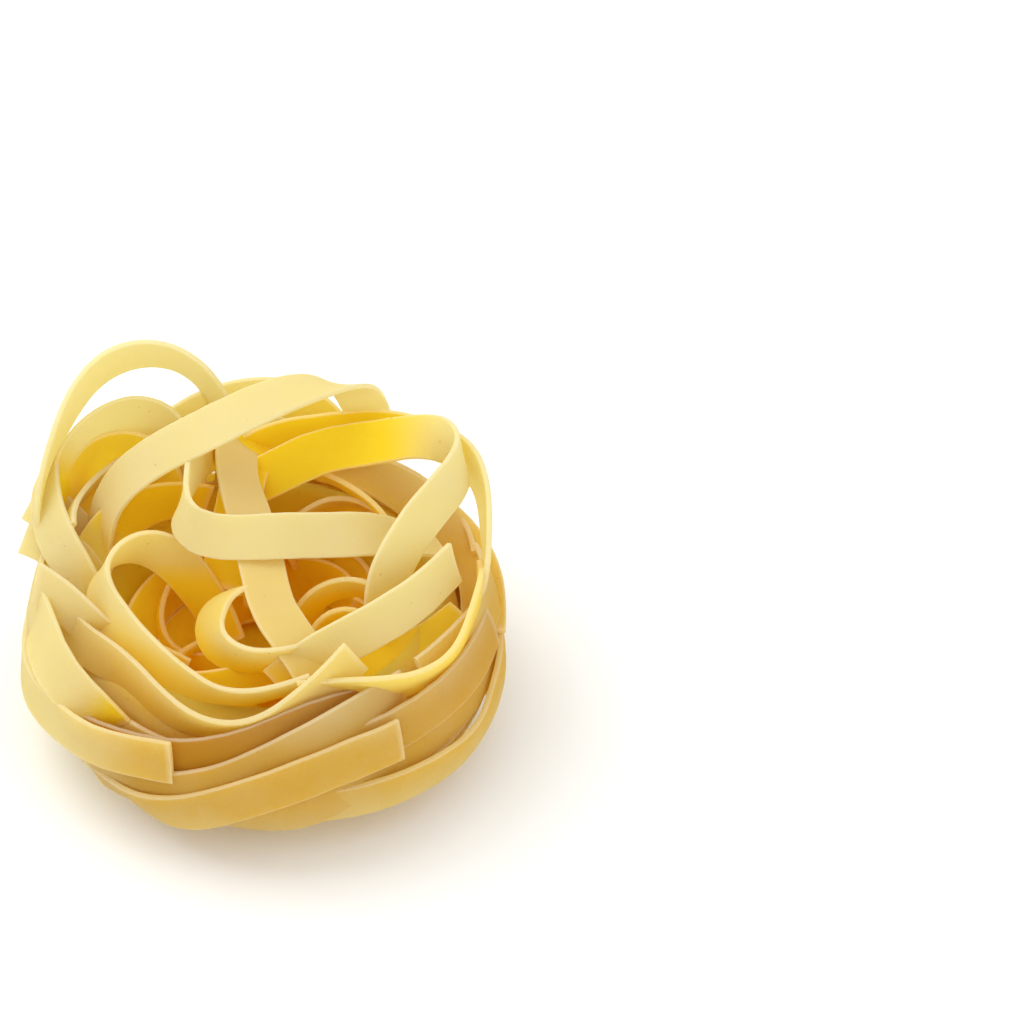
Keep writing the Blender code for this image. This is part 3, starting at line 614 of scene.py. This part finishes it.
def hollow_noodles(step):
    """Turns that climb the inside of the hollow, and the hoops that lie in it."""
    made = []
    for low, high, turns, start, sway, depth in HOLLOW_WINDINGS:
        count = round(turns * math.tau * HOLLOW_RADIUS * HOLLOW_MEAN / step)
        t = np.linspace(0, 1, count)
        turn = np.radians(start + 360 * turns * t)
        climb = np.radians(low + (high - low) * t + sway * np.sin(2 * turn))
        radius = (HOLLOW_RADIUS + depth) * np.sin(climb)
        height = RIM_HEIGHT - (HOLLOW_DEPTH + depth) * np.cos(climb)
        path = np.column_stack([radius * np.cos(turn), radius * np.sin(turn), height])
        made.append(ribbon(path, np.degrees(climb) - 90, (0, 0)))
    for x, y, z, radius, tilt, heading, start, sweep, lean in HOOPS:
        count = round(math.radians(sweep) * radius / step)
        turn = np.radians(np.linspace(start, start + sweep, count))
        out = radius * (1 + HOOP_SWELL * np.sin(2 * turn))
        rise = math.tan(math.radians(tilt)) * out * np.cos(turn - math.radians(heading))
        path = np.column_stack([x + out * np.cos(turn), y + out * np.sin(turn), z + rise])
        made.append(ribbon(path, np.full(count, lean), (x, y)))
    return made


def base_noodles(step):
    """Noodles side by side on the table, as long as the round underside lets them be, and the turns
    that lead from them to the wall."""
    made = []
    rows = int((BASE_RADIUS - BASE_PITCH) // BASE_PITCH)
    for row in range(-rows, rows + 1):
        off = row * BASE_PITCH
        half = math.sqrt(BASE_RADIUS**2 - (abs(off) + HALF_NOODLE) ** 2)
        t = np.linspace(-1, 1, round(2 * half / step))
        height = BASE_HEIGHT + BASE_RISE * np.abs(t) ** END_POWER
        path = np.column_stack([half * t, np.full(len(t), off), height])
        made.append(ribbon(path, np.full(len(t), -90.0), (0, off + BASE_AXIS)))
    for near, far, low, high, lean, start, sweep in FOOT_TURNS:
        t = np.linspace(0, 1, round(math.radians(sweep) * far / step))
        turn = np.radians(start + sweep * t)
        radius = near + (far - near) * t
        path = np.column_stack([radius * np.cos(turn), radius * np.sin(turn), low + (high - low) * t])
        made.append(ribbon(path, np.full(len(t), float(lean)), (0, 0)))
    return made


def core_mesh():
    """The wad: a closed outline turned once round the axis, as rings of points."""
    climb = np.radians(CORE_BOWL_ANGLES)
    bowl = np.column_stack([
        (HOLLOW_RADIUS + CORE_BOWL_OUT) * np.sin(climb),
        RIM_HEIGHT - (HOLLOW_DEPTH + CORE_BOWL_DOWN) * np.cos(climb)])
    heights = np.linspace(CORE_TOP, CORE_BELLY, CORE_SIDE_RINGS)
    side = np.column_stack([wall_radius(heights) - CORE_DEPTH, heights])
    outline = np.vstack([bowl, side, [(CORE_FOOT_RADIUS, CORE_FOOT)]])
    turn = np.arange(CORE_CORNERS) / CORE_CORNERS * math.tau
    grid = np.stack([
        outline[:, None, 0] * np.cos(turn), outline[:, None, 0] * np.sin(turn),
        outline[:, None, 1] + 0 * turn], -1)
    index = np.arange(len(outline) * CORE_CORNERS).reshape(len(outline), CORE_CORNERS)
    beside = np.roll(index, -1, axis=1)
    quads = np.stack([index[:-1], index[1:], beside[1:], beside[:-1]], -1).reshape(-1, 4)
    faces = [list(q) for q in quads] + [list(index[0]), list(index[-1][::-1])]
    mesh = bpy.data.meshes.new("core")
    mesh.from_pydata(grid.reshape(-1, 3) * MM, [], faces)
    for name in ("cut_edge", "shade_gold", "shade_brown"):
        mesh.attributes.new(name, "FLOAT", "POINT")
    mesh.uv_layers.new(name="noodle")
    mesh.shade_smooth()
    return mesh


def add(tree, kind, links=(), inputs=(), **settings):
    """Adds a shader node with its settings, its inputs' values and its links from other nodes' sockets."""
    node = tree.nodes.new(kind)
    for name, value in settings.items():
        setattr(node, name, value)
    for name, value in inputs:
        node.inputs[name].default_value = value
    for name, source in links:
        tree.links.new(source, node.inputs[name])
    return node


def ramp(tree, value, start, end, at_start=0.0, at_end=1.0):
    """The value carried smoothly from at_start to at_end as it goes from start to end."""
    return add(tree, "ShaderNodeMapRange", [("Value", value)],
               [("From Min", start), ("From Max", end), ("To Min", at_start), ("To Max", at_end)],
               interpolation_type="SMOOTHSTEP").outputs["Result"]


def maths(tree, operation, *values):
    """One sum of sockets and numbers."""
    sockets = [(i, v) for i, v in enumerate(values) if not isinstance(v, float)]
    numbers = [(i, v) for i, v in enumerate(values) if isinstance(v, float)]
    return add(tree, "ShaderNodeMath", sockets, numbers, operation=operation).outputs["Value"]


def blend(tree, factor, first, second):
    """Colour between first and second by the factor; each is a colour or a socket."""
    node = add(tree, "ShaderNodeMix", [("Factor", factor)], data_type="RGBA")
    for name, colour in (("A", first), ("B", second)):
        socket = next(s for s in node.inputs if s.name == name and s.type == "RGBA")
        if isinstance(colour, bpy.types.NodeSocket):
            tree.links.new(colour, socket)
        else:
            socket.default_value = (*colour, 1)
    return next(s for s in node.outputs if s.type == "RGBA")


def egg_pasta(colours):
    """Dried egg pasta, rolled and cut: durum dough, dull and a little grainy, that lets light through.

    To the eye: pale and floury on the faces that look out, with pale rough cut edges and bran specks. Shade
    is painted into the colour as golden dough on the faces that look in, a stronger gold at the bottom of
    the hollow, and a darker gold and dark amber low on the wall, in place of the shade and of the light that
    goes through many noodles.
    """
    look = bpy.data.materials.new("dried_egg_pasta")
    look.use_nodes = True
    tree = look.node_tree
    tree.nodes.clear()
    where = add(tree, "ShaderNodeTexCoord")
    spot = where.outputs["Object"]
    cut = add(tree, "ShaderNodeAttribute", attribute_name="cut_edge").outputs["Fac"]
    painted_shade = add(tree, "ShaderNodeAttribute", attribute_name="shade_gold").outputs["Fac"]
    shade_brown_share = add(tree, "ShaderNodeAttribute", attribute_name="shade_brown").outputs["Fac"]
    apart = add(tree, "ShaderNodeSeparateXYZ", [("Vector", spot)])
    across, height = apart.outputs["X"], apart.outputs["Z"]
    level = add(tree, "ShaderNodeVectorMath", [(0, spot)], [(1, (1, 1, 0))], operation="MULTIPLY")
    radius = add(tree, "ShaderNodeVectorMath", [(0, level.outputs["Vector"])], operation="LENGTH")

    # Painted shade by where the dough lies: in the hollow, at its bottom, and low on the wall, with less of
    # it on the left, where the light falls, and near the foot.
    within = ramp(tree, radius.outputs["Value"], *HOLLOW_SIDE)
    under = maths(tree, "MULTIPLY", within, ramp(tree, height, *HOLLOW_FACES))
    shade_gold = maths(tree, "MAXIMUM", painted_shade, under)
    deep_shade = maths(tree, "MULTIPLY", within, ramp(tree, height, *HOLLOW_BOTTOM))
    low = maths(tree, "MULTIPLY", ramp(tree, height, *LOW_WALL), ramp(tree, across, *PALE_LEFT, 0.1, 1.0))
    low = maths(tree, "MULTIPLY", low, ramp(tree, height, *PALE_FOOT, 1.0, 0.45))

    # Flour lies in soft patches, with grains in them.
    patches = add(tree, "ShaderNodeTexNoise", [("Vector", spot)],
                  [("Scale", 1 / PATCH_SIZE), ("Detail", 3.0), ("Roughness", 0.6)])
    grains = add(tree, "ShaderNodeTexNoise", [("Vector", spot)],
                 [("Scale", 1 / GRAIN_SIZE), ("Detail", 2.0), ("Roughness", 0.7)])
    floury = maths(tree, "ADD", ramp(tree, patches.outputs["Fac"], 0.35, 0.7, 0.0, 0.35),
                   ramp(tree, grains.outputs["Fac"], 0.45, 0.7, 0.0, 0.3))
    # No flour shows where painted shade lies.
    kept = maths(tree, "MAXIMUM", maths(tree, "MAXIMUM", shade_gold, shade_brown_share), maths(tree, "MULTIPLY", low, 0.6))
    floury = maths(tree, "MULTIPLY", floury, maths(tree, "SUBTRACT", 1.0, kept))
    # The dough's pale colour with painted shade over it: a darker gold low on the wall, golden where faces
    # are in shade, a stronger gold at the bottom of the hollow, and dark amber on the shaded bands; then the
    # pale cut edges.
    body = blend(tree, low, colours.upper, colours.wall)
    body = blend(tree, floury, body, colours.flour)
    body = blend(tree, shade_gold, body, colours.shade_gold)
    body = blend(tree, deep_shade, body, colours.deep_shade)
    body = blend(tree, shade_brown_share, body, colours.shade_brown)
    body = blend(tree, maths(tree, "MULTIPLY", cut, 0.5), body, colours.cut)

    # Bran specks, about 0.3 mm across.
    specks = add(tree, "ShaderNodeTexVoronoi", [("Vector", spot)], [("Scale", 1 / SPECK_GAP)])
    dot = ramp(tree, specks.outputs["Distance"], 0.03, 0.07, 0.6, 0.0)
    body = blend(tree, dot, body, colours.speck)

    # Grain of the dough, over faint waves from rolling.
    waves = add(tree, "ShaderNodeTexNoise", [("Vector", spot)], [("Scale", 1 / WAVE_SIZE)])
    heights = maths(tree, "ADD", grains.outputs["Fac"], waves.outputs["Fac"])
    bump = add(tree, "ShaderNodeBump", [("Height", heights)],
               [("Strength", 0.4), ("Distance", BUMP_HEIGHT)])

    skin = add(tree, "ShaderNodeBsdfPrincipled", [("Base Color", body), ("Normal", bump.outputs["Normal"])],
               [("Roughness", 0.6), ("IOR", 1.45), ("Specular IOR Level", 0.1)])
    # Light through the dough takes its colour from the same painted shade: amber where the golden shade or
    # the low wall's shade is painted, dark amber on the shaded bands.
    golden = maths(tree, "MAXIMUM", shade_gold, maths(tree, "MULTIPLY", low, 0.7))
    light = blend(tree, golden, colours.inside, colours.amber)
    light = blend(tree, shade_brown_share, light, colours.shade_brown)
    through = add(tree, "ShaderNodeBsdfTranslucent", [("Color", light), ("Normal", bump.outputs["Normal"])])
    both = add(tree, "ShaderNodeMixShader", [(1, skin.outputs["BSDF"]), (2, through.outputs["BSDF"])],
               [("Fac", 0.5)])
    add(tree, "ShaderNodeOutputMaterial", [("Surface", both.outputs["Shader"])])
    return look


def dressed():
    """The pasta's material, made the first time that it is asked for."""
    return bpy.data.materials.get("dried_egg_pasta") or egg_pasta(bpy.context.scene.pasta_colours)


def lay_down(name, noodles, offset):
    """Adds the piece that these noodles make, with random draws of its own."""
    sizes = bpy.context.scene.pasta_sizes
    draws = np.random.default_rng(SEED + offset)
    place(name, noodle_mesh(name, noodles(sizes.step / MM), sizes, draws), dressed())


class StandingLoops(bpy.types.Operator):
    """Adds the noodles that stand up over the rim, each laid one by one"""
    bl_idname = "pasta.standing_loops"
    bl_label = "Standing loops"

    def execute(self, context):
        lay_down("standing_loops", loop_noodles, 1)
        return {"FINISHED"}


class WallNoodles(bpy.types.Operator):
    """Adds the noodles that lie on the outer wall"""
    bl_idname = "pasta.wall_noodles"
    bl_label = "Wall noodles"

    def execute(self, context):
        lay_down("wall_noodles", wall_noodles, 2)
        return {"FINISHED"}


class InnerWindings(bpy.types.Operator):
    """Adds the windings under the outer noodles"""
    bl_idname = "pasta.inner_windings"
    bl_label = "Inner windings"

    def execute(self, context):
        lay_down("inner_windings", winding_noodles, 3)
        return {"FINISHED"}


class HollowNoodles(bpy.types.Operator):
    """Adds the turns and hoops in the hollow"""
    bl_idname = "pasta.hollow_noodles"
    bl_label = "Hollow noodles"

    def execute(self, context):
        lay_down("hollow_noodles", hollow_noodles, 4)
        return {"FINISHED"}


class BaseNoodles(bpy.types.Operator):
    """Adds the noodles of the flat underside"""
    bl_idname = "pasta.base_noodles"
    bl_label = "Base noodles"

    def execute(self, context):
        lay_down("base_noodles", base_noodles, 5)
        return {"FINISHED"}


class Core(bpy.types.Operator):
    """Adds the wad inside the wall"""
    bl_idname = "pasta.core"
    bl_label = "Core"

    def execute(self, context):
        place("core", core_mesh(), dressed())
        return {"FINISHED"}


def area_light(name, power, size, location):
    """A square white light that looks at the origin."""
    light = bpy.data.lights.new(name, "AREA")
    light.energy = power
    light.size = size
    lamp = bpy.data.objects.new(name, light)
    lamp.location = location
    aim = -np.array(location)
    lamp.rotation_euler = (
        math.atan2(math.hypot(aim[0], aim[1]), -aim[2]), 0, math.atan2(aim[1], aim[0]) - math.pi / 2)
    bpy.context.scene.collection.objects.link(lamp)


class Stage(bpy.types.Operator):
    """Adds the floor, the light and the camera"""
    bl_idname = "pasta.stage"
    bl_label = "Stage"

    def execute(self, context):
        scene = context.scene
        mesh = bpy.data.meshes.new("floor")
        corners = [(x * FLOOR_REACH, y * FLOOR_REACH, 0) for x, y in ((-1, -1), (1, -1), (1, 1), (-1, 1))]
        mesh.from_pydata(corners, [], [(0, 1, 2, 3)])
        floor = bpy.data.objects.new("floor", mesh)
        scene.collection.objects.link(floor)
        paint = bpy.data.materials.new("white_board")
        paint.use_nodes = True
        shader = paint.node_tree.nodes["Principled BSDF"]
        shader.inputs["Base Color"].default_value = (*linear("f7f7f5"), 1)
        shader.inputs["Roughness"].default_value = 0.9
        mesh.materials.append(paint)
        world = bpy.data.worlds.new("studio")
        world.use_nodes = True
        world.node_tree.nodes["Background"].inputs["Color"].default_value = (1, 1, 1, 1)
        world.node_tree.nodes["Background"].inputs["Strength"].default_value = 1.0
        scene.world = world
        for light in LIGHTS:
            area_light(*light)
        scene.view_settings.view_transform = "Standard"
        # Light goes through many noodles before it leaves the hollow.
        scene.cycles.max_bounces = 20
        scene.cycles.diffuse_bounces = 10
        scene.cycles.transmission_bounces = 20

        elevation = math.radians(VIEW_ELEVATION)
        ahead = np.array([0, math.cos(elevation), -math.sin(elevation)])
        up = np.array([0, math.sin(elevation), math.cos(elevation)])
        right = np.array([1.0, 0, 0])
        middle = PICTURE_SIDE / 2
        spot = np.array([0, 0, AIM_HEIGHT]) - VIEW_DISTANCE * ahead
        spot = spot + (middle - AIM_PIXEL[0]) / PIXELS_PER_MM * right
        spot = spot - (middle - AIM_PIXEL[1]) / PIXELS_PER_MM * up
        lens = bpy.data.cameras.new("camera")
        lens.sensor_width = 36
        lens.lens = PIXELS_PER_MM * VIEW_DISTANCE / PICTURE_SIDE * lens.sensor_width
        lens.clip_start = 0.01
        camera = bpy.data.objects.new("camera", lens)
        camera.location = spot * MM
        camera.rotation_euler = (math.pi / 2 - elevation, 0, 0)
        scene.collection.objects.link(camera)
        scene.camera = camera
        return {"FINISHED"}


class PastaPanel(bpy.types.Panel):
    """Lists the pieces of the nest"""
    bl_idname = "VIEW3D_PT_pasta"
    bl_label = "Dry pasta nest"
    bl_space_type = "VIEW_3D"
    bl_region_type = "UI"
    bl_category = "Pasta"

    def draw(self, context):
        for group in (context.scene.pasta_sizes, context.scene.pasta_colours):
            for name in group.__annotations__:
                self.layout.prop(group, name)
        for maker in MAKERS:
            self.layout.operator(maker.bl_idname)


MAKERS = (StandingLoops, WallNoodles, InnerWindings, HollowNoodles, BaseNoodles, Core, Stage)
CLASSES = (NoodleSizes, NoodleColours, *MAKERS, PastaPanel)


def register():
    for made in CLASSES:
        bpy.utils.register_class(made)
    bpy.types.Scene.pasta_sizes = bpy.props.PointerProperty(type=NoodleSizes)
    bpy.types.Scene.pasta_colours = bpy.props.PointerProperty(type=NoodleColours)


def unregister():
    del bpy.types.Scene.pasta_sizes
    del bpy.types.Scene.pasta_colours
    for made in reversed(CLASSES):
        bpy.utils.unregister_class(made)


def main():
    register()
    for maker in MAKERS:
        group, name = maker.bl_idname.split(".")
        getattr(getattr(bpy.ops, group), name)()


if __name__ == "__main__":
    main()
